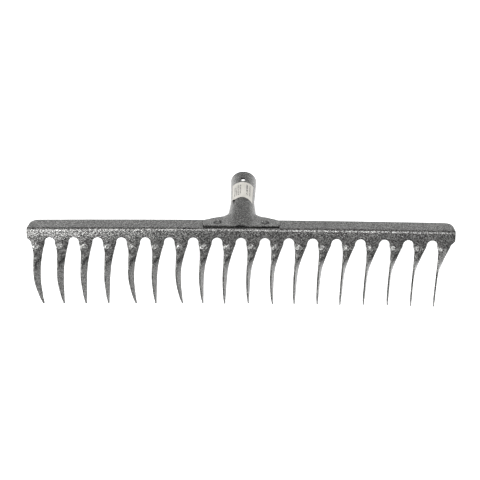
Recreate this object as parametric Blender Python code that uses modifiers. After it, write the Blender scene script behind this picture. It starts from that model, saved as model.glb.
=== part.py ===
"""Head of a garden rake, without its handle: one stamped sheet with eighteen twisted tines, and the
rolled socket that is spot welded to it. Metres, +Z up.

The head is modelled upright, with the tines pointing down, X along the bar and +Y towards the handle.
It is then tipped forward on an empty, until it lies as it lies on the ground: on the points of its
tines and on the lower rim of its socket.
"""
import math

import bmesh
import bpy
from mathutils import Vector

# Sheet metal and clearances
BLADE_SHEET = 0.0020
SOCKET_SHEET = 0.0020
SEAT_GAP = 0.0003

# Bar: an angle of two flat strips, the flange above and the band in front, measured on the outside.
# Its ends hang lower than its middle by the bow.
TINE_COUNT = 18
TINE_PITCH = 0.025
END_OVERHANG = 0.0114
BAR_BOW = 0.0014
FLANGE_WIDTH = 0.0195
BAND_HEIGHT = 0.0098
FOLD_ANGLE = math.radians(71)
FOLD_RADIUS = 0.004
REAR_CORNER_RADIUS = 0.0075

# Tine: drops are measured down the band's plane from the top of the gullets
TINE_LENGTH = 0.0757
GULLET_RADIUS = 0.0055
NECK_WIDTH = 0.0082
NECK_DROP = 0.0185
BELLY_WIDTH = 0.0104
BELLY_DROP = 0.0395
TIP_WIDTH = 0.0022
TWIST_ANGLE = math.radians(73.5)
TWIST_START = 0.0025
TWIST_END = 0.038
LEAN = 0.0050
LEAN_START = 0.002
LEAN_END = 0.048
HOOK_DROP = 0.0365
HOOK_RADIUS = 0.034
HOOK_ANGLE = math.radians(24)

# Socket: a cone rolled round the handle, whose sheet opens out into two wings on the flange. The
# wings narrow towards the neck over their tail, and the sheet's edges droop there.
MOUTH_DIAMETER = 0.0298
TUBE_TAPER = math.radians(2.5)
TUBE_LENGTH = 0.0404
FLARE_LENGTH = 0.0365
NECK_FLARE = 0.0040
NECK_FLARE_POWER = 1.5
CLOSING_POWER = 1.3
LIP_SHARE = 0.6
SEAM_OPENING = 0.0015
FACING_ALLOWANCE = 0.002
SOCKET_ANGLE = math.radians(9)
AXIS_HEIGHT = 0.0020
WING_SPAN = 0.080
WING_SETBACK = 0.0033
WING_CORNER = 0.0015
WING_REAR_SETBACK = 0.0040
WING_TAIL = 0.0073
WING_TAIL_WIDTH = 0.0326
WING_TAIL_POWER = 1.2
WING_FILLET = 0.005
FRONT_ARCH_HEIGHT = 0.0010
FRONT_ARCH_ANGLE = math.radians(14)
REAR_ARCH_ANGLE = math.radians(46)
TAIL_DROOP = math.radians(10)

# Hole for the screw that pins the handle
SCREW_HOLE_DIAMETER = 0.0055
SCREW_HOLE_SETBACK = 0.0147

# Spot welds, one in each wing
WELD_DIAMETER = 0.009
WELD_INSET = 0.015
WELD_SETBACK = 0.0103
WELD_DISH = 0.0004
WELD_RIM_SHARE = 0.5

# Paper label on the socket, with both of its ends bowed away from the mouth at its sides
LABEL_SHEET = 0.0002
LABEL_SETBACK = 0.0204
LABEL_LENGTH = 0.0268
LABEL_UPPER_BOW = 0.0008
LABEL_LOWER_BOW = 0.0024
LABEL_WRAP = math.radians(111)

# Fineness of the meshes
TINE_COLUMNS = 3
CORNER_STEPS = 3
FOLD_STEPS = 4
GULLET_STEPS = 4
TWIST_STEPS = 8
HOOK_STEPS = 7
SOCKET_COLUMNS = 14
TAIL_SECTIONS = 4
FLARE_SECTIONS = 5
TUBE_SECTIONS = 3
LOFT_STEPS = 2
ROUND_SIDES = 32
LABEL_COLUMNS = 10
SHARP_ANGLE = math.radians(35)
MERGE_DISTANCE = 0.0001
TILT_HALVINGS = 40

# Worked out from the sizes above
HALF_SHEET = BLADE_SHEET / 2
SHEETS = BLADE_SHEET + SEAT_GAP + SOCKET_SHEET
WELD_CUT_DEPTH = 3 * SHEETS
CORNER_SETBACK = HALF_SHEET * math.tan(FOLD_ANGLE / 2)
FLANGE_MID = FLANGE_WIDTH - CORNER_SETBACK
BAND_MID = BAND_HEIGHT - CORNER_SETBACK
FOLD_MID_RADIUS = FOLD_RADIUS - HALF_SHEET
FOLD_TANGENT = FOLD_MID_RADIUS * math.tan(FOLD_ANGLE / 2)
ROOT_WIDTH = TINE_PITCH - 2 * GULLET_RADIUS
BAR_HALF_LENGTH = (TINE_COUNT - 1) * TINE_PITCH / 2 + END_OVERHANG
FLANGE_ALONG = Vector((0, math.sin(FOLD_ANGLE), math.cos(FOLD_ANGLE)))
FLANGE_UP = Vector((0, -math.cos(FOLD_ANGLE), math.sin(FOLD_ANGLE)))
FLANGE_TOP = FLANGE_UP * HALF_SHEET - FLANGE_ALONG * CORNER_SETBACK
WING_LEVEL = SEAT_GAP + SOCKET_SHEET / 2
TUBE_START = FLANGE_WIDTH + FLARE_LENGTH
MOUTH_MID_RADIUS = (MOUTH_DIAMETER - SOCKET_SHEET) / 2
SOCKET_ALONG = FLANGE_ALONG * math.cos(SOCKET_ANGLE) + FLANGE_UP * math.sin(SOCKET_ANGLE)
SOCKET_UP = FLANGE_UP * math.cos(SOCKET_ANGLE) - FLANGE_ALONG * math.sin(SOCKET_ANGLE)
TUBE_BASE = FLANGE_TOP + FLANGE_ALONG * TUBE_START + FLANGE_UP * AXIS_HEIGHT
MOUTH_CENTRE = TUBE_BASE + SOCKET_ALONG * TUBE_LENGTH


def smooth(value, start, end):
    """0 before start, 1 after end, and an S-curve between them."""
    share = min(max((value - start) / (end - start), 0.0), 1.0)
    return share * share * (3 - 2 * share)


def mix(low, high, share):
    return low + (high - low) * share


def material(name, colour, roughness, metallic):
    made = bpy.data.materials.new(name)
    made.use_nodes = True
    shader = made.node_tree.nodes["Principled BSDF"]
    shader.inputs["Base Color"].default_value = (*colour, 1)
    shader.inputs["Roughness"].default_value = roughness
    shader.inputs["Metallic"].default_value = metallic
    return made


def mesh_object(name, bm, collection, finish=None):
    """A mesh object made from bm, shaded smooth with its edges kept sharp."""
    bmesh.ops.recalc_face_normals(bm, faces=bm.faces)
    mesh = bpy.data.meshes.new(name)
    bm.to_mesh(mesh)
    bm.free()
    mesh.shade_smooth()
    mesh.set_sharp_from_angle(angle=SHARP_ANGLE)
    if finish:
        mesh.materials.append(finish)
    made = bpy.data.objects.new(name, mesh)
    collection.objects.link(made)
    return made


def solidify(target, thickness):
    shell = target.modifiers.new("sheet", "SOLIDIFY")
    shell.thickness = thickness
    shell.offset = 0
    shell.use_even_offset = True


def cut(target, cutter):
    hole = target.modifiers.new("cut_" + cutter.name, "BOOLEAN")
    hole.operation = "DIFFERENCE"
    hole.solver = "EXACT"
    hole.object = cutter


def round_slug(radius, depth):
    """A cylinder about the origin, along Z."""
    bm = bmesh.new()
    bmesh.ops.create_cone(
        bm, cap_ends=True, segments=ROUND_SIDES, radius1=radius, radius2=radius, depth=depth
    )
    return bm


def round_cutter(name, centre, along, radius, depth, collection):
    """A cylinder across centre, to be cut out of another object."""
    bm = round_slug(radius, depth)
    cutter = mesh_object(name, bm, collection)
    cutter.location = centre
    cutter.rotation_mode = "QUATERNION"
    cutter.rotation_quaternion = along.to_track_quat("Z", "Y")
    cutter.hide_render = True
    cutter.display_type = "WIRE"
    return cutter


def join_rows(bm, upper, lower):
    """Quads between two rows of as many vertices."""
    for left in range(len(upper) - 1):
        bm.faces.new((upper[left], upper[left + 1], lower[left + 1], lower[left]))


def bar_rows():
    """Rows across the bar's middle surface, from its rear edge to the gullets: (y, z, half length)."""
    rows = []
    for step in range(CORNER_STEPS + 1):
        turn = math.pi / 2 * step / CORNER_STEPS
        inset = REAR_CORNER_RADIUS * (1 - math.cos(turn))
        half_length = BAR_HALF_LENGTH - REAR_CORNER_RADIUS * (1 - math.sin(turn))
        point = FLANGE_ALONG * (FLANGE_MID - inset)
        rows.append((point.y, point.z, half_length))
    fold_centre = FLANGE_ALONG * FOLD_TANGENT - FLANGE_UP * FOLD_MID_RADIUS
    for step in range(FOLD_STEPS + 1):
        turn = FOLD_ANGLE * step / FOLD_STEPS
        outward = FLANGE_UP * math.cos(turn) - FLANGE_ALONG * math.sin(turn)
        point = fold_centre + outward * FOLD_MID_RADIUS
        rows.append((point.y, point.z, BAR_HALF_LENGTH))
    rows.append((0.0, -BAND_MID, BAR_HALF_LENGTH))
    return rows


def bow(x):
    """How much lower the bar hangs here than at its middle."""
    return BAR_BOW * (x / BAR_HALF_LENGTH) ** 2


def half_width(drop, at_bar_end):
    """Half of the tine's width at this drop, on a side with a gullet or at the end of the bar."""
    if drop >= GULLET_RADIUS:
        width = mix(ROOT_WIDTH, NECK_WIDTH, smooth(drop, GULLET_RADIUS, NECK_DROP))
        width = mix(width, BELLY_WIDTH, smooth(drop, NECK_DROP, BELLY_DROP))
        return mix(width, TIP_WIDTH, smooth(drop, BELLY_DROP, TINE_LENGTH)) / 2
    if at_bar_end:
        return mix(END_OVERHANG, ROOT_WIDTH / 2, smooth(drop, 0, GULLET_RADIUS))
    rise = GULLET_RADIUS - drop
    return TINE_PITCH / 2 - math.sqrt(GULLET_RADIUS**2 - rise**2)


def hook(drop):
    """How far the front edge has curved back from the band's plane: straight, an arc, then straight."""
    past = drop - HOOK_DROP
    arc = HOOK_RADIUS * math.sin(HOOK_ANGLE)
    if past <= 0:
        return 0.0
    if past <= arc:
        return HOOK_RADIUS - math.sqrt(HOOK_RADIUS**2 - past**2)
    return HOOK_RADIUS * (1 - math.cos(HOOK_ANGLE)) + (past - arc) * math.tan(HOOK_ANGLE)


def tine_point(centre, drop, share, left_end, right_end):
    """A point of the tine's middle surface.

    The tine turns about its front edge, the left one, which stays flush with the band's front face.
    """
    left = half_width(drop, left_end)
    right = half_width(drop, right_end)
    turn = TWIST_ANGLE * smooth(drop, TWIST_START, TWIST_END)
    across = mix(-left, right, share)
    x = centre - LEAN * smooth(drop, LEAN_START, LEAN_END) + across * math.cos(turn)
    y = hook(drop) - HALF_SHEET * math.sin(turn) + (across + left) * math.sin(turn)
    return (x, y, -BAND_MID - bow(x) - drop)


def tine_drops():
    """Drops of the rows down a tine: round the gullet, through the twist, then along the hook."""
    drops = []
    for step in range(1, GULLET_STEPS + 1):
        drops.append(GULLET_RADIUS * (1 - math.cos(math.pi / 2 * step / GULLET_STEPS)))
    for step in range(1, TWIST_STEPS + 1):
        drops.append(mix(GULLET_RADIUS, TWIST_END, step / TWIST_STEPS))
    for step in range(1, HOOK_STEPS + 1):
        drops.append(mix(TWIST_END, TINE_LENGTH, step / HOOK_STEPS))
    return drops


def make_blade(collection, finish):
    """The bar and its tines: one stamped, folded and twisted sheet."""
    bm = bmesh.new()
    above = None
    for y, z, half_length in bar_rows():
        row = []
        for tine in range(TINE_COUNT):
            left = (tine - TINE_COUNT / 2) * TINE_PITCH
            right = left + TINE_PITCH
            first = 1
            if tine == 0:
                left = -half_length
                first = 0
            if tine == TINE_COUNT - 1:
                right = half_length
            for column in range(first, TINE_COLUMNS + 1):
                x = mix(left, right, column / TINE_COLUMNS)
                row.append(bm.verts.new((x, y, z - bow(x))))
        if above:
            join_rows(bm, above, row)
        above = row
    gullet_row = above
    for tine in range(TINE_COUNT):
        centre = (tine - (TINE_COUNT - 1) / 2) * TINE_PITCH
        left_end = tine == 0
        right_end = tine == TINE_COUNT - 1
        above = gullet_row[tine * TINE_COLUMNS:(tine + 1) * TINE_COLUMNS + 1]
        for drop in tine_drops():
            row = []
            for column in range(TINE_COLUMNS + 1):
                share = column / TINE_COLUMNS
                row.append(bm.verts.new(tine_point(centre, drop, share, left_end, right_end)))
            join_rows(bm, above, row)
            above = row
    blade = mesh_object("tine_blade", bm, collection, finish)
    solidify(blade, BLADE_SHEET)
    return blade


def tube_radius(from_mouth):
    """Radius of the tube's middle surface at this distance from its mouth."""
    return MOUTH_MID_RADIUS - from_mouth * math.tan(TUBE_TAPER)


def rolled_profile(radius, side, out_turn, reach):
    """Half of a section of the socket's sheet, as (x, height) from its ridge, evenly spaced.

    The sheet goes round an arc to the angle side, turns back out by out_turn on a fillet, and runs
    straight on until it is reach wide.
    """
    arc = radius * side
    fillet = WING_FILLET * out_turn
    arc_end = Vector((radius * math.sin(side), -radius * (1 - math.cos(side))))
    reach_out = radius + WING_FILLET
    fillet_centre = Vector((reach_out * math.sin(side), reach_out * math.cos(side) - radius))
    heading = side - out_turn
    fillet_end = fillet_centre - Vector((math.sin(heading), math.cos(heading))) * WING_FILLET
    if out_turn == 0:
        fillet_end = arc_end
    straight = max(reach - fillet_end.x, 0.0) / math.cos(heading) if reach else 0.0
    total = arc + fillet + straight
    points = []
    for column in range(SOCKET_COLUMNS + 1):
        along = total * column / SOCKET_COLUMNS
        if along <= arc:
            angle = along / radius
            points.append(Vector((radius * math.sin(angle), -radius * (1 - math.cos(angle)))))
        elif along <= arc + fillet:
            angle = side - (along - arc) / WING_FILLET
            points.append(fillet_centre - Vector((math.sin(angle), math.cos(angle))) * WING_FILLET)
        else:
            run = along - arc - fillet
            points.append(fillet_end + Vector((math.cos(heading), -math.sin(heading))) * run)
    return points


def seam_angle(radius):
    """Angle from the tube's ridge to the edge of its open seam, underneath."""
    return math.pi - SEAM_OPENING / 2 / radius


def place_section(profile, foot, up):
    """Puts a profile's ridge at foot, in the plane of X and up."""
    return [foot + Vector((x, 0, 0)) + up * height for x, height in profile]


def socket_sections():
    """Sections of the socket's sheet, from the wings' front edge to the mouth."""
    sections = []
    half_span = WING_SPAN / 2
    seat = FLANGE_TOP + FLANGE_UP * WING_LEVEL
    tube_ridge = TUBE_BASE + SOCKET_UP * tube_radius(TUBE_LENGTH)
    ridge_rise = (tube_ridge - seat).dot(FLANGE_UP) - FRONT_ARCH_HEIGHT
    ridge_end = (tube_ridge - seat).dot(FLANGE_ALONG)

    def ridge_height(distance):
        return FRONT_ARCH_HEIGHT + ridge_rise * (distance - WING_SETBACK) / (ridge_end - WING_SETBACK)

    # Wings flat on the flange, with the arch of the socket growing between them
    wing_rear = FLANGE_WIDTH - WING_REAR_SETBACK
    tail_end = FLANGE_WIDTH + WING_TAIL
    wings = [
        (WING_SETBACK, half_span - WING_CORNER),
        (WING_SETBACK + WING_CORNER, half_span),
        ((WING_SETBACK + wing_rear) / 2, half_span),
        (wing_rear - WING_CORNER, half_span),
        (wing_rear, half_span - WING_CORNER),
    ]
    for step in range(1, TAIL_SECTIONS + 1):
        share = step / TAIL_SECTIONS
        reach = mix(WING_TAIL_WIDTH / 2, half_span, (1 - share) ** WING_TAIL_POWER)
        wings.append((mix(wing_rear, tail_end, share), reach))
    for distance, reach in wings:
        height = ridge_height(distance)
        share = (distance - WING_SETBACK) / (tail_end - WING_SETBACK)
        side = mix(FRONT_ARCH_ANGLE, REAR_ARCH_ANGLE, share)
        radius = height / (1 - math.cos(side)) - WING_FILLET
        foot = seat + FLANGE_ALONG * distance + FLANGE_UP * height
        droop = TAIL_DROOP * smooth(distance, FLANGE_WIDTH + BLADE_SHEET, tail_end)
        profile = rolled_profile(radius, side, side - droop, reach)
        sections.append(place_section(profile, foot, FLANGE_UP))

    # The sheet's edges leave the flange and close up under the tube
    closed = seam_angle(tube_radius(TUBE_LENGTH))
    for step in range(1, FLARE_SECTIONS):
        share = step / FLARE_SECTIONS
        distance = mix(tail_end, TUBE_START, share)
        side = mix(REAR_ARCH_ANGLE, closed, share**CLOSING_POWER)
        out_turn = (REAR_ARCH_ANGLE - TAIL_DROOP) * max(1 - share / LIP_SHARE, 0)
        tilt = SOCKET_ANGLE * smooth(share, 0, 1)
        up = FLANGE_UP * math.cos(tilt) - FLANGE_ALONG * math.sin(tilt)
        radius = tube_radius(TUBE_LENGTH) + NECK_FLARE * (1 - share) ** NECK_FLARE_POWER
        foot = seat + FLANGE_ALONG * distance + FLANGE_UP * ridge_height(distance)
        sections.append(place_section(rolled_profile(radius, side, out_turn, 0), foot, up))

    # The tapered tube, a little too long, so that its mouth can be cut square
    for step in range(TUBE_SECTIONS + 1):
        from_base = (TUBE_LENGTH + FACING_ALLOWANCE) * step / TUBE_SECTIONS
        radius = tube_radius(TUBE_LENGTH - from_base)
        foot = TUBE_BASE + SOCKET_ALONG * from_base + SOCKET_UP * radius
        sections.append(place_section(rolled_profile(radius, seam_angle(radius), 0, 0), foot, SOCKET_UP))
    return sections


def between(before, start, end, after, share):
    """A point on the smooth curve through four points, between the middle two."""
    square = share * share
    cube = square * share
    return 0.5 * (
        2 * start
        + (end - before) * share
        + (2 * before - 5 * start + 4 * end - after) * square
        + (3 * start - before - 3 * end + after) * cube
    )


def loft_rows(sections):
    """Rows on a smooth surface through the sections."""
    rows = []
    last = len(sections) - 1
    for index in range(last):
        before = sections[max(index - 1, 0)]
        after = sections[min(index + 2, last)]
        for step in range(LOFT_STEPS):
            share = step / LOFT_STEPS
            four = zip(before, sections[index], sections[index + 1], after)
            rows.append([between(*points, share) for points in four])
    rows.append(sections[last])
    return rows


def make_socket(collection, finish):
    """The handle socket: half of its sheet, mirrored, with the thickness of the metal."""
    bm = bmesh.new()
    above = None
    for points in loft_rows(socket_sections()):
        row = [bm.verts.new(point) for point in points]
        if above:
            join_rows(bm, above, row)
        above = row
    socket = mesh_object("handle_socket", bm, collection, finish)
    mirror = socket.modifiers.new("other_half", "MIRROR")
    mirror.merge_threshold = MERGE_DISTANCE
    solidify(socket, SOCKET_SHEET)
    return socket


def tube_point(from_mouth, radius, angle):
    """A point round the tube's axis, where angle 0 is its ridge."""
    axis_point = MOUTH_CENTRE - SOCKET_ALONG * from_mouth
    return axis_point + SOCKET_UP * (radius * math.cos(angle)) + Vector((radius * math.sin(angle), 0, 0))


def make_label(collection, finish):
    """A paper label laid round the ridge of the socket."""
    bm = bmesh.new()
    above = None
    ends = ((LABEL_SETBACK, LABEL_UPPER_BOW), (LABEL_SETBACK + LABEL_LENGTH, LABEL_LOWER_BOW))
    for end, end_bow in ends:
        row = []
        for column in range(LABEL_COLUMNS + 1):
            across = 2 * column / LABEL_COLUMNS - 1
            angle = LABEL_WRAP / 2 * across
            from_mouth = end + end_bow * across**2
            radius = tube_radius(from_mouth) + SOCKET_SHEET / 2 + SEAT_GAP + LABEL_SHEET / 2
            row.append(bm.verts.new(tube_point(from_mouth, radius, angle)))
        if above:
            join_rows(bm, above, row)
        above = row
    label = mesh_object("socket_label", bm, collection, finish)
    solidify(label, LABEL_SHEET)
    return label


def weld_centre(side):
    """Middle of a weld on the flange's upper face; side is -1 or 1."""
    across = side * (WING_SPAN / 2 - WELD_INSET)
    return FLANGE_TOP + FLANGE_ALONG * WELD_SETBACK + Vector((across, 0, 0))


def make_weld(name, side, collection, finish):
    """The fused metal of one spot weld: a slug through both sheets, dished by the electrodes."""
    radius = WELD_DIAMETER / 2
    bm = round_slug(radius, SHEETS)
    for cap in [face for face in bm.faces if len(face.verts) > 4]:
        inward = -1 if cap.calc_center_median().z > 0 else 1
        bmesh.ops.inset_individual(bm, faces=[cap], thickness=radius * WELD_RIM_SHARE)
        bmesh.ops.translate(bm, verts=cap.verts, vec=(0, 0, inward * WELD_DISH))
    weld = mesh_object(name, bm, collection, finish)
    weld.location = weld_centre(side) + FLANGE_UP * (SHEETS / 2 - BLADE_SHEET)
    weld.rotation_mode = "QUATERNION"
    weld.rotation_quaternion = FLANGE_UP.to_track_quat("Z", "Y")
    return weld


def evaluated_points(target):
    """The object's vertices with its modifiers, in the world."""
    bpy.context.view_layer.update()
    shaped = target.evaluated_get(bpy.context.evaluated_depsgraph_get())
    mesh = shaped.to_mesh()
    points = [shaped.matrix_world @ vert.co for vert in mesh.vertices]
    shaped.to_mesh_clear()
    return points


def lay_down(pose, blade, socket):
    """Tips the head forward until its tines and its socket's rim touch the ground together."""
    tines = evaluated_points(blade)
    rim = evaluated_points(socket)

    def lowest(points, tilt):
        return min(point.z * math.cos(tilt) - point.y * math.sin(tilt) for point in points)

    low, high = 0.0, math.pi / 2
    for _ in range(TILT_HALVINGS):
        tilt = (low + high) / 2
        if lowest(tines, tilt) < lowest(rim, tilt):
            low = tilt
        else:
            high = tilt
    pose.rotation_euler.x = -tilt
    pose.location.z = -lowest(tines, tilt)
    along = [point.y * math.cos(tilt) + point.z * math.sin(tilt) for point in tines + rim]
    pose.location.y = -(min(along) + max(along)) / 2


def main():
    for old in list(bpy.data.objects):
        bpy.data.objects.remove(old, do_unlink=True)
    parts = bpy.data.collections.new("garden_rake_head")
    cutters = bpy.data.collections.new("cutters")
    bpy.context.scene.collection.children.link(parts)
    bpy.context.scene.collection.children.link(cutters)

    painted = material("hammered_paint", (0.18, 0.18, 0.176), 0.4, 0.6)
    socket_paint = material("hammered_paint_socket", (0.185, 0.185, 0.18), 0.4, 0.6)
    weld_paint = material("painted_weld", (0.17, 0.17, 0.166), 0.42, 0.6)
    paper = material("label_paper", (0.72, 0.71, 0.67), 0.6, 0.0)

    blade = make_blade(parts, painted)
    socket = make_socket(parts, socket_paint)
    label = make_label(parts, paper)
    pieces = [blade, socket, label]

    for side, name in ((-1, "left"), (1, "right")):
        pieces.append(make_weld("spot_weld_" + name, side, parts, weld_paint))
        hole_radius = WELD_DIAMETER / 2 + SEAT_GAP
        weld_hole = round_cutter(
            "weld_" + name, weld_centre(side), FLANGE_UP, hole_radius, WELD_CUT_DEPTH, cutters
        )
        cut(blade, weld_hole)
        cut(socket, weld_hole)
    hole_centre = tube_point(SCREW_HOLE_SETBACK, tube_radius(SCREW_HOLE_SETBACK), 0)
    screw_hole = round_cutter(
        "screw_hole", hole_centre, SOCKET_UP, SCREW_HOLE_DIAMETER / 2, MOUTH_DIAMETER / 2, cutters
    )
    cut(socket, screw_hole)
    facing_depth = 2 * FACING_ALLOWANCE
    facing = round_cutter(
        "mouth_facing", MOUTH_CENTRE + SOCKET_ALONG * (facing_depth / 2), SOCKET_ALONG,
        MOUTH_DIAMETER, facing_depth, cutters,
    )
    cut(socket, facing)

    pose = bpy.data.objects.new("lying_pose", None)
    parts.objects.link(pose)
    lay_down(pose, blade, socket)
    for piece in (*pieces, *cutters.objects):
        piece.parent = pose
    bpy.context.view_layer.update()


main()
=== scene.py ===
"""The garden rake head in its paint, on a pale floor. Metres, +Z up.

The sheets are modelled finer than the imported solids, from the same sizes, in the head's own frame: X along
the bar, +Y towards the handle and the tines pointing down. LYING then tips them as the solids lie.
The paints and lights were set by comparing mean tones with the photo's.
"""
import math

import bmesh
import bpy
from mathutils import Matrix, Vector
from mathutils.bvhtree import BVHTree


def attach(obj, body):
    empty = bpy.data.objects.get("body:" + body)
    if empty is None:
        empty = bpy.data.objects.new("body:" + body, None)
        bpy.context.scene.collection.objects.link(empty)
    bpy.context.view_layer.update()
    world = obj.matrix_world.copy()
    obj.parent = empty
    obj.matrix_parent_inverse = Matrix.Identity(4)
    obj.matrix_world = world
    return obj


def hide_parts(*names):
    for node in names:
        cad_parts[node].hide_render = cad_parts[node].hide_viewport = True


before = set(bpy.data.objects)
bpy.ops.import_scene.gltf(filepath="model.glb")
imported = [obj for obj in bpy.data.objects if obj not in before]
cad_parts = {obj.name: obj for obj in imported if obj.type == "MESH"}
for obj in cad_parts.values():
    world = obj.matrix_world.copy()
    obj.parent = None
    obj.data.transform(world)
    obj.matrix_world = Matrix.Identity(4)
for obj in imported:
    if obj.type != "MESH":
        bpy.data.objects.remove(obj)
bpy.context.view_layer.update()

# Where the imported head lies
LYING_TILT = math.radians(55.2083683)
LYING_Y = -0.0128657
LYING_Z = 0.0619327
LYING = Matrix.Translation((0, LYING_Y, LYING_Z)) @ Matrix.Rotation(-LYING_TILT, 4, "X")

# Two tables below are in millimetres
MM_PER_METRE = 1000

# Sheets
SHEET = 0.0020
HALF_SHEET = SHEET / 2
SEAT_GAP = 0.0003
EDGE_ROUND = 0.00024
EDGE_ROUND_SEGMENTS = 3
EDGE_ANGLE = math.radians(50)

# Bar
TINE_COUNT = 18
TINE_PITCH = 0.025
END_OVERHANG = 0.0114
BAR_BOW = 0.0014
FLANGE_WIDTH = 0.0195
BAND_HEIGHT = 0.0098
FOLD_ANGLE = math.radians(71)
FOLD_RADIUS = 0.004
REAR_CORNER_RADIUS = 0.0075

# Tines
TINE_LENGTH = 0.0757
GULLET_RADIUS = 0.0055
ROOT_EASE = 0.0035

# Sections down a tine at even steps, as (width in mm, twist in degrees, lean in mm, hook in mm). They are
# rounded from a fit of the tines' edges to those in the photo
TINE_SECTIONS = (
    (15.0, 0.0, 0.00, 0.00), (13.7, 3.8, 0.20, 0.00), (10.8, 16.2, 0.85, 0.00),
    (9.2, 35.2, 1.66, -0.10), (9.4, 53.0, 2.70, -0.30), (10.2, 65.2, 3.68, -0.20),
    (10.8, 70.8, 4.32, 0.05), (10.4, 72.6, 4.72, 0.95), (9.0, 72.8, 4.90, 2.75),
    (7.2, 72.4, 4.90, 5.35), (5.6, 72.0, 4.84, 8.20), (3.8, 72.6, 4.66, 11.10),
    (2.1, 74.0, 4.30, 14.15),
)

# How far each tine's tip is bent sideways, and how much shorter the tine is, in mm, as measured in the photo
TIP_BENDS = (
    2.0, -0.8, -1.9, -2.4, 2.6, -1.0, 3.0, 0.0, -1.3,
    -0.6, 0.7, -0.8, -0.7, -1.0, -0.6, 0.5, 1.0, 1.0,
)
TIP_CUTS = (
    0.0, 0.0, 0.0, 0.0, 0.0, 0.0, 0.0, 0.4, 0.0,
    0.6, 0.0, 0.5, 0.3, 0.0, 0.6, 0.4, 0.0, 0.0,
)
BEND_START = 0.030

# The point is ground thinner
POINT_START = 0.064
POINT_THINNING = 0.4

# The twisting tool left a bulge below each root: (height, radius, place across) at the bar's two ends
LEFT_BULGE = (0.0023, 0.0025, -0.0002)
RIGHT_BULGE = (0.0026, 0.0034, -0.0014)
BULGE_DROP = 0.0118

# Socket
MOUTH_DIAMETER = 0.0298
TUBE_TAPER = math.radians(2.5)
TUBE_LENGTH = 0.0404
FLARE_LENGTH = 0.0365
NECK_FLARE = 0.0040
NECK_FLARE_POWER = 1.5
CLOSING_POWER = 1.3
LIP_SHARE = 0.6
SEAM_OPENING = 0.0015
SOCKET_ANGLE = math.radians(9)
AXIS_HEIGHT = 0.0020
WING_SPAN = 0.080
WING_SETBACK = 0.0033
WING_CORNER = 0.0015
WING_REAR_SETBACK = 0.0040
WING_TAIL = 0.0073
WING_TAIL_WIDTH = 0.0326
WING_TAIL_POWER = 1.2
WING_FILLET = 0.005
FRONT_ARCH_HEIGHT = 0.0010
FRONT_ARCH_ANGLE = math.radians(17)
REAR_ARCH_ANGLE = math.radians(46)
TAIL_DROOP = math.radians(10)
SCREW_HOLE_DIAMETER = 0.0055
SCREW_HOLE_SETBACK = 0.0147

# The screw hole was punched from outside, which pressed its edge in
PUNCH_REACH = 0.0022
PUNCH_DEPTH = 0.0003

# Spot welds
WELD_DIAMETER = 0.009
WELD_INSET = 0.015
WELD_SETBACK = 0.0103
WELD_CUT_DEPTH = 6 * SHEET

# Half of a weld mark's section, out from its middle: (share of the weld's radius, height)
WELD_PROFILE = (
    (0.15, -0.00030), (0.35, -0.00034), (0.50, -0.00052), (0.62, -0.00100),
    (0.72, -0.00112), (0.82, -0.00070), (0.90, -0.00010), (0.97, 0.00013),
    (1.03, 0.00010), (1.10, -0.00002), (1.15, -0.00015),
)

# Label: it lies round the tube's ridge a little askew, with its lower left corner lifting
LABEL_PAPER = 0.00012
LABEL_SETBACK = 0.0204
LABEL_LENGTH = 0.0268
LABEL_UPPER_BOW = 0.0008
LABEL_LOWER_BOW = 0.0046
LABEL_WRAP = math.radians(111)
LABEL_SKEW = math.radians(2.2)
LIFT_REACH = 0.006
LIFT_HEIGHT = 0.0024

# Fineness. COLUMN_SHARES go from a tine's edge to its middle, closer together where the section curves,
# and ROOT_RISE is how far above the gullets the tines' patches begin
COLUMN_SHARES = (0.0, 0.3, 0.54, 0.72, 0.87, 1.0)
CORNER_STEPS = 8
FOLD_STEPS = 8
GULLET_TOP_STEPS = 5
GULLET_SIDE_STEPS = 5
ROOT_RISE = 0.003
TINE_STEPS = 56
SOCKET_COLUMNS = 40
TAIL_SECTIONS = 4
FLARE_SECTIONS = 5
TUBE_SECTIONS = 3
LOFT_SPACING = 0.0009
LABEL_COLUMNS = 48
LABEL_ROWS = 30
ROUND_SIDES = 64
MERGE_DISTANCE = 0.00001

# Hammered paint: metallic flakes that settled into winding ridges, with dark hollows between them.
# Scales are in waves per metre, shares are what each pattern adds to the paint's height and tone, and
# TONE_STOPS are the tones of the dark, middle and light grey
RIDGE_SCALE = 780.0
RIDGE_ROUGHNESS = 0.4
RIDGE_BEND = 0.9
RIDGE_HEIGHT = 0.00015
CELL_SCALE = 820.0
CELL_SMOOTHNESS = 0.35
CELL_SHARE = -0.35
FLAKE_SCALE = 2300.0
FLAKE_SHARE = 0.25
FLAKE_ROUGHNESS = 0.2
BROAD_SCALE = 30.0
BROAD_SHARE = 0.10
TONE_STOPS = (0.30, 0.46, 0.60)
METALLIC = 0.85
BLUE_SHARE = 0.975

# Painted shade: the paint's colour is darkened in hollows and gaps, by (gain, offset, least and most) for the
# share of open sky within reach
HOLLOW_REACH = 0.005
HOLLOW_SAMPLES = 8
PAINTED_HOLLOW_SHADE = (3.0, -1.5, 0.03, 1.0)

# (darkest grey, lightest grey, roughness) of the paint on each part
BLADE_PAINT = (0.022, 0.19, 0.22)
SOCKET_PAINT = (0.055, 0.185, 0.26)
# The welds' paint is a little darker than the blade's: painted shade for the weld dishes
WELD_PAINT_SHADED = (0.025, 0.17, 0.2)

# Label paper: faint fibres and clouds
FIBRE_SCALE = 900.0
FIBRE_SHARE = 0.4
FIBRE_HEIGHT = 0.00005
FIBRE_STRENGTH = 0.4
CLOUD_SCALE = 110.0
CLOUD_SHARE = 0.6
PAPER_STOPS = (0.3, 0.7)
DARK_PAPER = (0.40, 0.385, 0.355)
LIGHT_PAPER = (0.515, 0.50, 0.465)
PAPER_ROUGHNESS = 0.55

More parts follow.
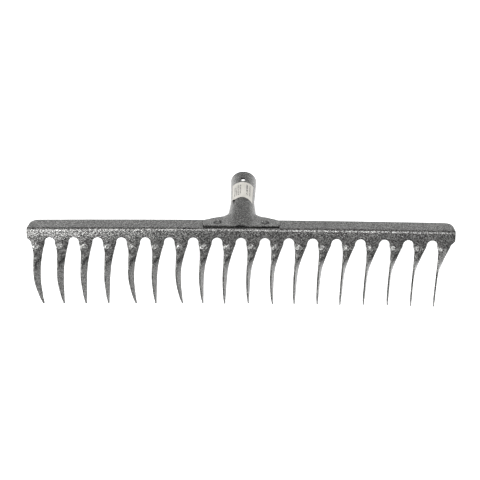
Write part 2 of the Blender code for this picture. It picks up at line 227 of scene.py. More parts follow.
# The label's print: plain rules in worn ink, as (place across, width). INK_WEAR is (gain, offset, least and
# most) for the noise that wears them
LABEL_RULES = (
    (-0.0085, 0.0010), (-0.0065, 0.0010), (-0.0045, 0.0011), (-0.0025, 0.0011),
    (0.0048, 0.0016), (0.0080, 0.0012),
)
RULE_LENGTH = 0.0185
INK = (0.06, 0.06, 0.06, 1)
WEAR_SCALE = 700.0
INK_WEAR = (6.0, -2.3, 0.0, 0.95)

# Camera: it looks down on the bar's fold, a little from the right
CAMERA_LENS = 50
CAMERA_SENSOR = 36
FOCAL_PIXELS = 666.7
FRAME_PIXELS = 480
CENTRE_COLUMN = 262.0
BAR_COLUMN = 241.0
CAMERA_DISTANCE = 0.6945
CAMERA_BAND_TILT = math.radians(11.1)
CAMERA_ROLL = math.radians(0.49)
FOLD_ABOVE_CENTRE = 0.0111
FOLD_BELOW_CORNER = 0.00091

# Floor and surroundings: white wherever the camera sees them
WHITE = (1, 1, 1, 1)
FLOOR_SIZE = 6
FLOOR_DROP = 0.0001
FLOOR_GREY = 0.7
FLOOR_ROUGHNESS = 0.9
FLOOR_GLOW = 0.7
AMBIENT_STRENGTH = 0.3

# Soft lights: (name, place, the point it faces, (width, height), watts)
LAMPS = (
    ("key_light", (-0.57, -0.55, 0.97), (-0.15, 0, 0.05), (0.45, 0.4), 7.5),
    ("fill_light", (0.3, -0.46, 1.05), (0.12, 0, 0.05), (0.35, 0.25), 2.8),
    ("top_light", (-0.03, -0.02, 1.15), (-0.03, 0, 0.04), (1.35, 0.42), 10.3),
    ("left_light", (-1.0, -0.2, 0.3), (-0.1, 0, 0.03), (1.0, 0.5), 5),
    ("right_light", (1.0, 0.4, 0.35), (0, 0.02, 0.03), (0.5, 0.4), 3),
    ("low_light", (1.0, -0.38, 0.22), (0, -0.03, 0.03), (0.6, 0.4), 2.2),
)

# Worked out from the sizes above
SMOOTH_LIMIT = math.cos(EDGE_ANGLE)
CORNER_SETBACK = HALF_SHEET * math.tan(FOLD_ANGLE / 2)
FLANGE_MID = FLANGE_WIDTH - CORNER_SETBACK
BAND_MID = BAND_HEIGHT - CORNER_SETBACK
FOLD_MID_RADIUS = FOLD_RADIUS - HALF_SHEET
FOLD_TANGENT = FOLD_MID_RADIUS * math.tan(FOLD_ANGLE / 2)
ROOT_WIDTH = TINE_PITCH - 2 * GULLET_RADIUS
BAR_HALF_LENGTH = (TINE_COUNT - 1) * TINE_PITCH / 2 + END_OVERHANG
FLANGE_ALONG = Vector((0, math.sin(FOLD_ANGLE), math.cos(FOLD_ANGLE)))
FLANGE_UP = Vector((0, -math.cos(FOLD_ANGLE), math.sin(FOLD_ANGLE)))
FLANGE_TOP = FLANGE_UP * HALF_SHEET - FLANGE_ALONG * CORNER_SETBACK
WING_LEVEL = SEAT_GAP + HALF_SHEET
TUBE_START = FLANGE_WIDTH + FLARE_LENGTH
MOUTH_MID_RADIUS = (MOUTH_DIAMETER - SHEET) / 2
SOCKET_ALONG = FLANGE_ALONG * math.cos(SOCKET_ANGLE) + FLANGE_UP * math.sin(SOCKET_ANGLE)
SOCKET_UP = FLANGE_UP * math.cos(SOCKET_ANGLE) - FLANGE_ALONG * math.sin(SOCKET_ANGLE)
TUBE_BASE = FLANGE_TOP + FLANGE_ALONG * TUBE_START + FLANGE_UP * AXIS_HEIGHT
MOUTH_CENTRE = TUBE_BASE + SOCKET_ALONG * TUBE_LENGTH


def smooth(value, start, end):
    """0 before start, 1 after end, and an S-curve between them."""
    share = min(max((value - start) / (end - start), 0.0), 1.0)
    return share * share * (3 - 2 * share)


def mix(low, high, share):
    return low + (high - low) * share


def between(before, start, end, after, share):
    """A smooth curve from start to end that passes through all four values at even steps."""
    square = share * share
    cube = square * share
    return 0.5 * (
        2 * start
        + (end - before) * share
        + (2 * before - 5 * start + 4 * end - after) * square
        + (3 * start - before - 3 * end + after) * cube
    )


def new_object(name, bm):
    """An object made from bm, in the frame that bm is in."""
    bmesh.ops.recalc_face_normals(bm, faces=bm.faces)
    mesh = bpy.data.meshes.new(name)
    bm.to_mesh(mesh)
    bm.free()
    mesh.shade_smooth()
    made = bpy.data.objects.new(name, mesh)
    bpy.context.scene.collection.objects.link(made)
    return made


def solidify(target, thickness):
    """Gives a sheet's middle surface its thickness, half to each side."""
    shell = target.modifiers.new("sheet", "SOLIDIFY")
    shell.thickness = thickness
    shell.offset = 0
    shell.use_even_offset = True


def cut(target, cutter):
    hole = target.modifiers.new("cut_" + cutter.name, "BOOLEAN")
    hole.operation = "DIFFERENCE"
    hole.solver = "EXACT"
    hole.object = cutter


def round_edges(target, width):
    """Rounds the sheet's cut edges."""
    rounding = target.modifiers.new("rounding", "BEVEL")
    rounding.width = width
    rounding.segments = EDGE_ROUND_SEGMENTS
    rounding.limit_method = "ANGLE"
    rounding.angle_limit = EDGE_ANGLE
    rounding.use_clamp_overlap = False


def even_shading(mesh):
    """Gives each corner the mean normal of the faces that it turns smoothly into, weighted by area."""
    around = [[] for _ in mesh.vertices]
    for face in mesh.polygons:
        for index in face.vertices:
            around[index].append(face.index)
    facing = [face.normal.copy() for face in mesh.polygons]
    weighted = [face.normal * face.area for face in mesh.polygons]
    corners = []
    for face in mesh.polygons:
        for index in face.vertices:
            total = Vector()
            for other in around[index]:
                if facing[face.index].dot(facing[other]) > SMOOTH_LIMIT:
                    total += weighted[other]
            corners.append(total.normalized())
    mesh.normals_split_custom_set(corners)


def settle(target):
    """Replaces the object's mesh with what its modifiers make of it, tipped as the head lies."""
    bpy.context.view_layer.update()
    shaped = target.evaluated_get(bpy.context.evaluated_depsgraph_get())
    mesh = bpy.data.meshes.new_from_object(shaped)
    target.modifiers.clear()
    target.data = mesh
    mesh.transform(LYING)
    even_shading(mesh)


def round_cutter(name, centre, along, radius, depth):
    bm = bmesh.new()
    bmesh.ops.create_cone(
        bm, cap_ends=True, segments=ROUND_SIDES, radius1=radius, radius2=radius, depth=depth
    )
    cutter = new_object(name, bm)
    cutter.matrix_world = Matrix.Translation(centre) @ along.to_track_quat("Z", "Y").to_matrix().to_4x4()
    return cutter


def join_rows(bm, rows):
    """Quads between rows of as many points."""
    above = None
    for points in rows:
        row = [bm.verts.new(point) for point in points]
        if above:
            for left in range(len(row) - 1):
                bm.faces.new((above[left], above[left + 1], row[left + 1], row[left]))
        above = row


def bar_rows():
    """The bar's section from the flange's rear edge to the tines' roots, as (y, z, the row's half length)."""
    rows = []
    for step in [0, *range(2, CORNER_STEPS + 1)]:  # step 1 would be all but on step 0
        turn = math.pi / 2 * step / CORNER_STEPS
        inset = REAR_CORNER_RADIUS * (1 - math.cos(turn))
        half_length = BAR_HALF_LENGTH - REAR_CORNER_RADIUS * (1 - math.sin(turn))
        point = FLANGE_ALONG * (FLANGE_MID - inset)
        rows.append((point.y, point.z, half_length))
    fold_centre = FLANGE_ALONG * FOLD_TANGENT - FLANGE_UP * FOLD_MID_RADIUS
    for step in range(FOLD_STEPS + 1):
        turn = FOLD_ANGLE * step / FOLD_STEPS
        outward = FLANGE_UP * math.cos(turn) - FLANGE_ALONG * math.sin(turn)
        point = fold_centre + outward * FOLD_MID_RADIUS
        rows.append((point.y, point.z, BAR_HALF_LENGTH))
    rows.append((0.0, -BAND_MID + ROOT_RISE, BAR_HALF_LENGTH))
    return rows


def bow(x):
    """How far the bar hangs below its middle at x."""
    return BAR_BOW * (x / BAR_HALF_LENGTH) ** 2


def tine_section(drop):
    """Width, twist, lean and hook at a drop, on smooth curves through TINE_SECTIONS."""
    last = len(TINE_SECTIONS) - 1
    steps = max(drop, 0.0) / TINE_LENGTH * last
    index = min(int(steps), last - 1)
    four = (TINE_SECTIONS[min(max(index + shift, 0), last)] for shift in (-1, 0, 1, 2))
    width, twist, lean, hook = (between(*values, steps - index) for values in zip(*four))
    return width / MM_PER_METRE, math.radians(twist), lean / MM_PER_METRE, hook / MM_PER_METRE


def half_width(drop, at_bar_end):
    """Half of a tine's width at a drop; above the gullets' centres, the outline of its root."""
    if drop >= GULLET_RADIUS:
        ease = smooth(drop, GULLET_RADIUS, GULLET_RADIUS + ROOT_EASE)
        return mix(ROOT_WIDTH, tine_section(drop)[0], ease) / 2
    if at_bar_end:
        return mix(END_OVERHANG, ROOT_WIDTH / 2, smooth(drop, 0, GULLET_RADIUS))
    rise = GULLET_RADIUS - drop
    return TINE_PITCH / 2 - math.sqrt(GULLET_RADIUS**2 - rise**2)


def tine_centre(tine):
    return (tine - (TINE_COUNT - 1) / 2) * TINE_PITCH


def tine_point(tine, drop, across):
    """A point of a tine, across from its middle."""
    centre = tine_centre(tine)
    _, turn, lean, hook = tine_section(drop)
    left = half_width(max(drop, 0.0), tine == 0)
    past = max(drop - BEND_START, 0.0) / (TINE_LENGTH - BEND_START)
    along_bar = tine / (TINE_COUNT - 1)
    height, radius, middle = (mix(*ends, along_bar) for ends in zip(LEFT_BULGE, RIGHT_BULGE))
    away = ((across - middle) ** 2 + (drop - BULGE_DROP) ** 2) / radius**2
    x = centre - lean + TIP_BENDS[tine] / MM_PER_METRE * past**2 + across * math.cos(turn)
    y = hook - HALF_SHEET * math.sin(turn) + (across + left) * math.sin(turn)
    y -= height * math.exp(-away)
    return (x, y, -BAND_MID - bow(x) - drop + TIP_CUTS[tine] / MM_PER_METRE * past**2)


def tine_rows(tine):
    """Rows down a tine, from the height of the gullets' centres to its tip."""
    shares = [share - 1 for share in COLUMN_SHARES]
    shares += [-share for share in reversed(shares[:-1])]
    rows = []
    for step in range(TINE_STEPS + 1):
        drop = mix(GULLET_RADIUS, TINE_LENGTH, step / TINE_STEPS)
        width = half_width(drop, False)
        rows.append([tine_point(tine, drop, width * share) for share in shares])
    return rows


def gullet_rays():
    """Angles of rays out of a gullet's centre, from straight up to sideways; one meets the root's corner."""
    corner = math.atan2(GULLET_RADIUS + ROOT_RISE, TINE_PITCH / 2)
    rays = [mix(math.pi / 2, corner, step / GULLET_TOP_STEPS) for step in range(GULLET_TOP_STEPS)]
    return rays + [mix(corner, 0, step / GULLET_SIDE_STEPS) for step in range(GULLET_SIDE_STEPS + 1)]


def ray_point(ray, share):
    """A point on a ray from the gullet's edge to the root's far side, as (distance across, drop)."""
    reach = min(
        (GULLET_RADIUS + ROOT_RISE) / max(math.sin(ray), MERGE_DISTANCE),
        TINE_PITCH / 2 / max(math.cos(ray), MERGE_DISTANCE),
    )
    run = mix(GULLET_RADIUS, reach, share)
    return TINE_PITCH / 2 - run * math.cos(ray), GULLET_RADIUS - run * math.sin(ray)


def root_rows(tine, side):
    """Rows of half of a tine's root, each from its outline to the tine's middle."""
    at_bar_end = tine == (0 if side < 0 else TINE_COUNT - 1)
    rows = []
    for ray in gullet_rays()[GULLET_TOP_STEPS if at_bar_end else 0:]:
        row = []
        for share in COLUMN_SHARES:
            across, drop = ray_point(ray, share)
            if at_bar_end:
                drop = ray_point(ray, 1)[1]
                across = half_width(drop, True) * (1 - share)
            row.append(tine_point(tine, drop, side * across))
        rows.append(row)
    return rows


def bar_columns(half_length):
    """Places of the bar's columns along X, in a row that ends at half_length."""
    offsets = [ray_point(ray, 1)[0] for ray in gullet_rays()[:GULLET_TOP_STEPS + 1]]
    columns = []
    for tine in range(TINE_COUNT):
        centre = tine_centre(tine)
        left = [centre - offset for offset in offsets]
        right = [centre + offset for offset in reversed(offsets)]
        if tine == 0:
            left = [mix(-half_length, centre, share) for share in COLUMN_SHARES]
        if tine == TINE_COUNT - 1:
            right = [mix(half_length, centre, share) for share in reversed(COLUMN_SHARES)]
        columns += left[:-1] + right[:-1]
    return columns + [half_length]


def make_blade():
    """The bar and its tines: patches of quads that fit together, with their shared points merged."""
    bm = bmesh.new()
    join_rows(bm, [
        [(x, y, z - bow(x)) for x in bar_columns(half_length)] for y, z, half_length in bar_rows()
    ])
    for tine in range(TINE_COUNT):
        join_rows(bm, root_rows(tine, -1))
        join_rows(bm, root_rows(tine, 1))
        join_rows(bm, tine_rows(tine))
    bmesh.ops.remove_doubles(bm, verts=bm.verts, dist=MERGE_DISTANCE)
    thickness = bm.verts.layers.deform.verify()
    for vert in bm.verts:
        drop = -BAND_MID - bow(vert.co.x) - vert.co.z
        vert[thickness][0] = 1 - POINT_THINNING * smooth(drop, POINT_START, TINE_LENGTH)
    blade = new_object("rake_blade", bm)
    blade.vertex_groups.new(name="thickness")
    solidify(blade, SHEET)
    blade.modifiers["sheet"].vertex_group = "thickness"
    return blade


def tube_radius(from_mouth):
    return MOUTH_MID_RADIUS - from_mouth * math.tan(TUBE_TAPER)


def rolled_profile(radius, side, out_turn, reach):
    """Half of a section of the socket's sheet, as (x, height) from its ridge, evenly spaced."""
    arc = radius * side
    fillet = WING_FILLET * out_turn
    arc_end = Vector((radius * math.sin(side), -radius * (1 - math.cos(side))))
    reach_out = radius + WING_FILLET
    fillet_centre = Vector((reach_out * math.sin(side), reach_out * math.cos(side) - radius))
    heading = side - out_turn
    fillet_end = fillet_centre - Vector((math.sin(heading), math.cos(heading))) * WING_FILLET
    if out_turn == 0:
        fillet_end = arc_end
    straight = max(reach - fillet_end.x, 0.0) / math.cos(heading) if reach else 0.0
    total = arc + fillet + straight
    points = []
    for column in range(SOCKET_COLUMNS + 1):
        along = total * column / SOCKET_COLUMNS
        if along <= arc:
            angle = along / radius
            points.append(Vector((radius * math.sin(angle), -radius * (1 - math.cos(angle)))))
        elif along <= arc + fillet:
            angle = side - (along - arc) / WING_FILLET
            points.append(fillet_centre - Vector((math.sin(angle), math.cos(angle))) * WING_FILLET)
        else:
            run = along - arc - fillet
            points.append(fillet_end + Vector((math.cos(heading), -math.sin(heading))) * run)
    return points


def seam_angle(radius):
    """The angle from the ridge to the edge of the open seam."""
    return math.pi - SEAM_OPENING / 2 / radius


def place_section(profile, foot, up):
    """A profile's points in the head's frame, with its ridge at foot."""
    return [foot + Vector((x, 0, 0)) + up * height for x, height in profile]


def socket_sections():
    """Half sections of the socket's sheet, from the wings' front edge to the mouth."""
    sections = []
    half_span = WING_SPAN / 2
    seat = FLANGE_TOP + FLANGE_UP * WING_LEVEL
    tube_ridge = TUBE_BASE + SOCKET_UP * tube_radius(TUBE_LENGTH)
    ridge_rise = (tube_ridge - seat).dot(FLANGE_UP) - FRONT_ARCH_HEIGHT
    ridge_end = (tube_ridge - seat).dot(FLANGE_ALONG)

    def ridge_height(distance):
        return FRONT_ARCH_HEIGHT + ridge_rise * (distance - WING_SETBACK) / (ridge_end - WING_SETBACK)

    wing_rear = FLANGE_WIDTH - WING_REAR_SETBACK
    tail_end = FLANGE_WIDTH + WING_TAIL
    wings = [
        (WING_SETBACK, half_span - WING_CORNER),
        (WING_SETBACK + WING_CORNER, half_span),
        ((WING_SETBACK + wing_rear) / 2, half_span),
        (wing_rear - WING_CORNER, half_span),
        (wing_rear, half_span - WING_CORNER),
    ]
    for step in range(1, TAIL_SECTIONS + 1):
        share = step / TAIL_SECTIONS
        reach = mix(WING_TAIL_WIDTH / 2, half_span, (1 - share) ** WING_TAIL_POWER)
        wings.append((mix(wing_rear, tail_end, share), reach))
    for distance, reach in wings:
        height = ridge_height(distance)
        share = (distance - WING_SETBACK) / (tail_end - WING_SETBACK)
        side = mix(FRONT_ARCH_ANGLE, REAR_ARCH_ANGLE, share)
        radius = height / (1 - math.cos(side)) - WING_FILLET
        foot = seat + FLANGE_ALONG * distance + FLANGE_UP * height
        droop = TAIL_DROOP * smooth(distance, FLANGE_WIDTH + SHEET, tail_end)
        profile = rolled_profile(radius, side, side - droop, reach)
        sections.append(place_section(profile, foot, FLANGE_UP))

    closed = seam_angle(tube_radius(TUBE_LENGTH))
    for step in range(1, FLARE_SECTIONS):
        share = step / FLARE_SECTIONS
        distance = mix(tail_end, TUBE_START, share)
        side = mix(REAR_ARCH_ANGLE, closed, share**CLOSING_POWER)
        out_turn = (REAR_ARCH_ANGLE - TAIL_DROOP) * max(1 - share / LIP_SHARE, 0)
        tilt = SOCKET_ANGLE * smooth(share, 0, 1)
        up = FLANGE_UP * math.cos(tilt) - FLANGE_ALONG * math.sin(tilt)
        radius = tube_radius(TUBE_LENGTH) + NECK_FLARE * (1 - share) ** NECK_FLARE_POWER
        foot = seat + FLANGE_ALONG * distance + FLANGE_UP * ridge_height(distance)
        sections.append(place_section(rolled_profile(radius, side, out_turn, 0), foot, up))

    for step in range(TUBE_SECTIONS + 1):
        from_base = TUBE_LENGTH * step / TUBE_SECTIONS
        radius = tube_radius(TUBE_LENGTH - from_base)
        foot = TUBE_BASE + SOCKET_ALONG * from_base + SOCKET_UP * radius
        sections.append(place_section(rolled_profile(radius, seam_angle(radius), 0, 0), foot, SOCKET_UP))
    return sections


def loft_rows(sections):
    """Rows on a smooth surface through the sections, at an even spacing along the ridge."""
    rows = []
    last = len(sections) - 1
    for index in range(last):
        before = sections[max(index - 1, 0)]
        after = sections[min(index + 2, last)]
        steps = max(1, round((sections[index + 1][0] - sections[index][0]).length / LOFT_SPACING))
        for step in range(steps):
            share = step / steps
            four = zip(before, sections[index], sections[index + 1], after)
            rows.append([between(*points, share) for points in four])
    rows.append(sections[last])
    return rows


def punched(point):
    """Moves a point of the tube in towards its axis where the screw hole was punched."""
    from_mouth = (MOUTH_CENTRE - point).dot(SOCKET_ALONG)
    height = (point - MOUTH_CENTRE).dot(SOCKET_UP)
    if height <= 0 or from_mouth > 2 * SCREW_HOLE_SETBACK:
        return point
    away = math.hypot(point.x, from_mouth - SCREW_HOLE_SETBACK)
    hole = SCREW_HOLE_DIAMETER / 2
    return point - SOCKET_UP * PUNCH_DEPTH * (1 - smooth(away, hole, hole + PUNCH_REACH))


def make_socket():
    bm = bmesh.new()
    join_rows(bm, [[punched(point) for point in points] for points in loft_rows(socket_sections())])
    socket = new_object("rake_socket", bm)
    mirror = socket.modifiers.new("other_half", "MIRROR")
    mirror.merge_threshold = MERGE_DISTANCE
    solidify(socket, SHEET)
    return socket


def tube_point(from_mouth, radius, angle):
    """A point round the tube's axis, at an angle from its ridge."""
    axis_point = MOUTH_CENTRE - SOCKET_ALONG * from_mouth
    return axis_point + SOCKET_UP * (radius * math.cos(angle)) + Vector((radius * math.sin(angle), 0, 0))


def make_label(socket):
    """The label, laid on the socket's outside as it is shaped there."""
    bpy.context.view_layer.update()
    shell = BVHTree.FromObject(socket, bpy.context.evaluated_depsgraph_get())
    bm = bmesh.new()
    rows = []
    for row_index in range(LABEL_ROWS + 1):
        down = LABEL_LENGTH * row_index / LABEL_ROWS
        row = []
        for column in range(LABEL_COLUMNS + 1):
            share = column / LABEL_COLUMNS - 0.5
            angle = LABEL_WRAP * share
            end_bow = mix(LABEL_UPPER_BOW, LABEL_LOWER_BOW, row_index / LABEL_ROWS) * (2 * share) ** 2
            skewed = math.sin(LABEL_SKEW) * angle * MOUTH_MID_RADIUS
            corner = math.hypot((share + 0.5) * LABEL_WRAP * MOUTH_MID_RADIUS, LABEL_LENGTH - down)
            lift = LIFT_HEIGHT * (1 - smooth(corner, 0, LIFT_REACH))
            outside = tube_point(LABEL_SETBACK + down + end_bow + skewed, MOUTH_DIAMETER, angle)
            outward = SOCKET_UP * math.cos(angle) + Vector((math.sin(angle), 0, 0))
            row.append(shell.ray_cast(outside, -outward)[0] + outward * (LABEL_PAPER + lift))
        rows.append(row)
    join_rows(bm, rows)
    label = new_object("rake_label", bm)
    solidify(label, LABEL_PAPER)
    return label


def weld_centre(side):
    across = side * (WING_SPAN / 2 - WELD_INSET)
    return FLANGE_TOP + FLANGE_ALONG * WELD_SETBACK + Vector((across, 0, 0))


def make_weld(name, side):
    """A spot weld: the metal pressed into a dish on both faces, with a low ring round it."""
    radius = WELD_DIAMETER / 2
    profile = [(radius * out, SEAT_GAP + SHEET + height) for out, height in WELD_PROFILE]
    profile += [(radius * out, -SHEET - height) for out, height in reversed(WELD_PROFILE)]
    bm = bmesh.new()
    turns = [2 * math.pi * step / ROUND_SIDES for step in range(ROUND_SIDES + 1)]
    join_rows(bm, [
        [(out * math.cos(turn), out * math.sin(turn), height) for turn in turns]
        for out, height in profile
    ])
    bmesh.ops.remove_doubles(bm, verts=bm.verts, dist=MERGE_DISTANCE)
    bmesh.ops.holes_fill(bm, edges=[edge for edge in bm.edges if edge.is_boundary])
    turn = FLANGE_UP.to_track_quat("Z", "Y").to_matrix().to_4x4()
    bmesh.ops.transform(bm, matrix=Matrix.Translation(weld_centre(side)) @ turn, verts=bm.verts)
    return new_object(name, bm)


class Nodes:
    """The nodes of a material or a world, with short ways to add and join them."""

    def __init__(self, owner):
        owner.use_nodes = True
        self.tree = owner.node_tree

    def feed(self, socket, value):
        """Joins an output to the socket, or else sets the socket's own value."""
        if isinstance(value, bpy.types.NodeSocket):
            self.tree.links.new(value, socket)
        else:
            socket.default_value = value

    def fill(self, node, **inputs):
        for name, value in inputs.items():
            self.feed(node.inputs[name.replace("_", " ")], value)
        return node

    def add(self, kind, settings=None, **inputs):
        node = self.tree.nodes.new("ShaderNode" + kind)
        for name, value in (settings or {}).items():
            setattr(node, name, value)
        return self.fill(node, **inputs)

    def math(self, operation, *values):
        node = self.add("Math", {"operation": operation})
        for socket, value in zip(node.inputs, values):
            self.feed(socket, value)
        return node.outputs[0]

    def limited(self, value, gain, offset, least, most):
        """The value times gain, plus offset, kept from least to most."""
        scaled = self.math("MULTIPLY_ADD", value, gain, offset)
        return self.math("MINIMUM", self.math("MAXIMUM", scaled, least), most)

    def noise(self, place, scale, **inputs):
        return self.add("TexNoise", Vector=place, Scale=scale, **inputs).outputs[0]

    def ramp(self, value, stops):
        node = self.add("ValToRGB", Fac=value)
        while len(node.color_ramp.elements) < len(stops):
            node.color_ramp.elements.new(0.5)
        for element, (position, colour) in zip(node.color_ramp.elements, stops):
            element.position = position
            element.color = (*colour, 1)
        return node.outputs["Color"]

    def seen(self):
        """1 for rays from the camera, and for those that were mirrored or let through, else 0."""
        path = self.add("LightPath").outputs
        seen = self.math("MAXIMUM", path["Is Camera Ray"], path["Is Glossy Ray"])
        return self.math("MAXIMUM", seen, path["Is Transmission Ray"])

    def surface(self, **inputs):
        self.fill(self.tree.nodes["Principled BSDF"], **inputs)


def grey(value):
    return (value, value, value * BLUE_SHARE)


def hammered_paint(name, dark, light, roughness):
    material = bpy.data.materials.new(name)
    nodes = Nodes(material)
    place = nodes.add("TexCoord").outputs["Object"]
    ridges = nodes.noise(
        place, RIDGE_SCALE, Detail=1.0, Roughness=RIDGE_ROUGHNESS, Distortion=RIDGE_BEND
    )
    cells = nodes.add(
        "TexVoronoi", {"feature": "SMOOTH_F1"}, Vector=place, Scale=CELL_SCALE, Smoothness=CELL_SMOOTHNESS
    ).outputs["Distance"]
    flakes = nodes.noise(place, FLAKE_SCALE, Detail=1.0)
    broad = nodes.noise(place, BROAD_SCALE, Detail=3.0)
    height = nodes.math("MULTIPLY_ADD", flakes, FLAKE_SHARE, ridges)
    height = nodes.math("MULTIPLY_ADD", cells, CELL_SHARE, height)
    tone = nodes.math("ADD", height, nodes.math("MULTIPLY_ADD", broad, BROAD_SHARE, -BROAD_SHARE / 2))
    greys = (grey(dark), grey((2 * dark + light) / 3), grey(light))
    colour = nodes.ramp(tone, tuple(zip(TONE_STOPS, greys)))
    # Painted shade: the base colour is darkened where little open sky is within reach
    sky = nodes.add("AmbientOcclusion", {"samples": HOLLOW_SAMPLES}, Distance=HOLLOW_REACH).outputs["AO"]
    sky = nodes.limited(sky, *PAINTED_HOLLOW_SHADE)
    nodes.surface(
        Base_Color=nodes.add("VectorMath", {"operation": "SCALE"}, Vector=colour, Scale=sky).outputs[0],
        Roughness=nodes.math("MULTIPLY_ADD", flakes, FLAKE_ROUGHNESS, roughness - FLAKE_ROUGHNESS / 2),
        Normal=nodes.add("Bump", Strength=1.0, Distance=RIDGE_HEIGHT, Height=height).outputs[0],
        Metallic=METALLIC,
    )
    return material


def label_paper(name):
    """Off-white paper with faint fibres and two blocks of plain ruled lines in worn grey ink."""
    material = bpy.data.materials.new(name)
    nodes = Nodes(material)
    place = nodes.add("TexCoord").outputs["Object"]
    fibres = nodes.noise(place, FIBRE_SCALE, Detail=4.0)
    clouds = nodes.noise(place, CLOUD_SCALE, Detail=2.0)
    tone = nodes.math("MULTIPLY_ADD", clouds, CLOUD_SHARE, nodes.math("MULTIPLY", fibres, FIBRE_SHARE))
    paper_colour = nodes.ramp(tone, tuple(zip(PAPER_STOPS, (DARK_PAPER, LIGHT_PAPER))))

    across = nodes.add("SeparateXYZ", Vector=place).outputs["X"]
    ruled = 0.0
    for rule_place, rule_width in LABEL_RULES:
        ruled = nodes.math("ADD", nodes.math("COMPARE", across, rule_place, rule_width / 2), ruled)
    tube_axis = LYING.to_3x3() @ SOCKET_ALONG
    middle = LYING @ tube_point(LABEL_SETBACK + LABEL_LENGTH / 2, MOUTH_MID_RADIUS, 0)
    along = nodes.add("VectorMath", {"operation": "DOT_PRODUCT"})
    nodes.feed(along.inputs[0], place)
    nodes.feed(along.inputs[1], tube_axis)
    within = nodes.math("COMPARE", along.outputs["Value"], middle.dot(tube_axis), RULE_LENGTH / 2)
    worn = nodes.limited(nodes.noise(place, WEAR_SCALE, Detail=2.0), *INK_WEAR)
    ink = nodes.math("MULTIPLY", nodes.math("MULTIPLY", ruled, within), worn)

    nodes.surface(
        Base_Color=nodes.add("MixRGB", Fac=ink, Color1=paper_colour, Color2=INK).outputs[0],
        Roughness=PAPER_ROUGHNESS,
        Normal=nodes.add("Bump", Strength=FIBRE_STRENGTH, Distance=FIBRE_HEIGHT, Height=fibres).outputs[0],
    )
    return material


def make_camera():
    elevation = LYING_TILT + CAMERA_BAND_TILT
    up = Vector((0, math.sin(elevation), math.cos(elevation)))
    ahead = Vector((0, math.cos(elevation), -math.sin(elevation)))
    fold = LYING @ FLANGE_TOP - Vector((0, 0, FOLD_BELOW_CORNER))
    eye = fold - up * FOLD_ABOVE_CENTRE - ahead * CAMERA_DISTANCE
    eye.x = (CENTRE_COLUMN - BAR_COLUMN) / FOCAL_PIXELS * CAMERA_DISTANCE
    view = bpy.data.cameras.new("camera")
    view.lens = CAMERA_LENS
    view.sensor_width = CAMERA_SENSOR
    view.shift_x = -(CENTRE_COLUMN - FRAME_PIXELS / 2) / FRAME_PIXELS
    camera = bpy.data.objects.new("camera", view)
    bpy.context.scene.collection.objects.link(camera)
    axes = Matrix((Vector((1, 0, 0)), up, -ahead)).transposed().to_4x4()
    camera.matrix_world = Matrix.Translation(eye) @ axes @ Matrix.Rotation(CAMERA_ROLL, 4, "Z")
    bpy.context.scene.camera = camera


def make_floor():
    bm = bmesh.new()
    bmesh.ops.create_grid(bm, x_segments=1, y_segments=1, size=FLOOR_SIZE)
    floor = new_object("floor", bm)
    floor.location.z = -FLOOR_DROP
    material = bpy.data.materials.new("pale_floor")
    nodes = Nodes(material)
    nodes.surface(
        Base_Color=(FLOOR_GREY, FLOOR_GREY, FLOOR_GREY, 1), Roughness=FLOOR_ROUGHNESS, Specular_IOR_Level=0.0,
        Emission_Color=WHITE, Emission_Strength=nodes.math("MULTIPLY", nodes.seen(), FLOOR_GLOW),
    )
    floor.data.materials.append(material)


def make_world():
    """White where it is seen, and a dim even light on everything else."""
    world = bpy.data.worlds.new("studio")
    bpy.context.scene.world = world
    nodes = Nodes(world)
    ambient = nodes.fill(nodes.tree.nodes["Background"], Color=WHITE, Strength=AMBIENT_STRENGTH)
    white = nodes.add("Background", Color=WHITE, Strength=1.0)
    choose = nodes.add("MixShader", Fac=nodes.seen())
    nodes.feed(choose.inputs[1], ambient.outputs[0])
    nodes.feed(choose.inputs[2], white.outputs[0])
    nodes.feed(nodes.tree.nodes["World Output"].inputs["Surface"], choose.outputs[0])


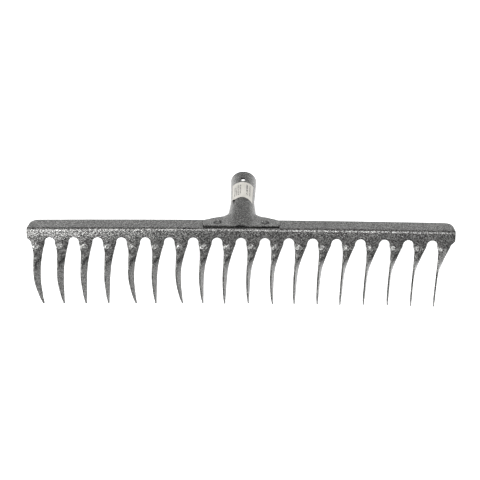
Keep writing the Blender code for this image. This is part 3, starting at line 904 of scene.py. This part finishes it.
def softbox(name, place, target, size, watts):
    light = bpy.data.lights.new(name, "AREA")
    light.shape = "RECTANGLE"
    light.size, light.size_y = size
    light.energy = watts
    lamp = bpy.data.objects.new(name, light)
    bpy.context.scene.collection.objects.link(lamp)
    lamp.location = place
    lamp.rotation_mode = "QUATERNION"
    lamp.rotation_quaternion = (Vector(target) - Vector(place)).to_track_quat("-Z", "Y")


blade = make_blade()
socket = make_socket()
for piece in (blade, socket):
    round_edges(piece, EDGE_ROUND)
screw_hole_centre = tube_point(SCREW_HOLE_SETBACK, tube_radius(SCREW_HOLE_SETBACK), 0)
screw_hole = round_cutter(
    "screw_hole", screw_hole_centre, SOCKET_UP, SCREW_HOLE_DIAMETER / 2, MOUTH_DIAMETER / 2
)
cut(socket, screw_hole)
cutters = [screw_hole]
for side in (-1, 1):
    weld_hole = round_cutter("weld_hole", weld_centre(side), FLANGE_UP, WELD_DIAMETER / 2, WELD_CUT_DEPTH)
    cut(blade, weld_hole)
    cut(socket, weld_hole)
    cutters.append(weld_hole)
label = make_label(socket)
weld_left = make_weld("rake_weld_left", -1)
weld_right = make_weld("rake_weld_right", 1)
for piece in (blade, socket, label, weld_left, weld_right):
    settle(piece)
for cutter in cutters:
    bpy.data.objects.remove(cutter, do_unlink=True)

paint = hammered_paint("hammered_paint", *BLADE_PAINT)
socket_paint = hammered_paint("hammered_paint_socket", *SOCKET_PAINT)
# The welds' darker paint is painted shade for their dishes
weld_paint = hammered_paint("hammered_paint_welds", *WELD_PAINT_SHADED)
paper = label_paper("label_paper")
for piece, finish, slot, node in (
    (blade, paint, "blade_paint", "tine_blade"),
    (socket, socket_paint, "socket_paint", "handle_socket"),
    (weld_left, weld_paint, "weld_paint", "spot_weld_left"),
    (weld_right, weld_paint, "weld_paint", "spot_weld_right"),
    (label, paper, "label_paper", "socket_label"),
):
    piece.data.materials.clear()
    piece.data.materials.append(finish)
    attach(piece, "root")
    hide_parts(node)

make_camera()
make_floor()
make_world()
for lamp in LAMPS:
    softbox(*lamp)
bpy.context.scene.view_settings.view_transform = "Standard"
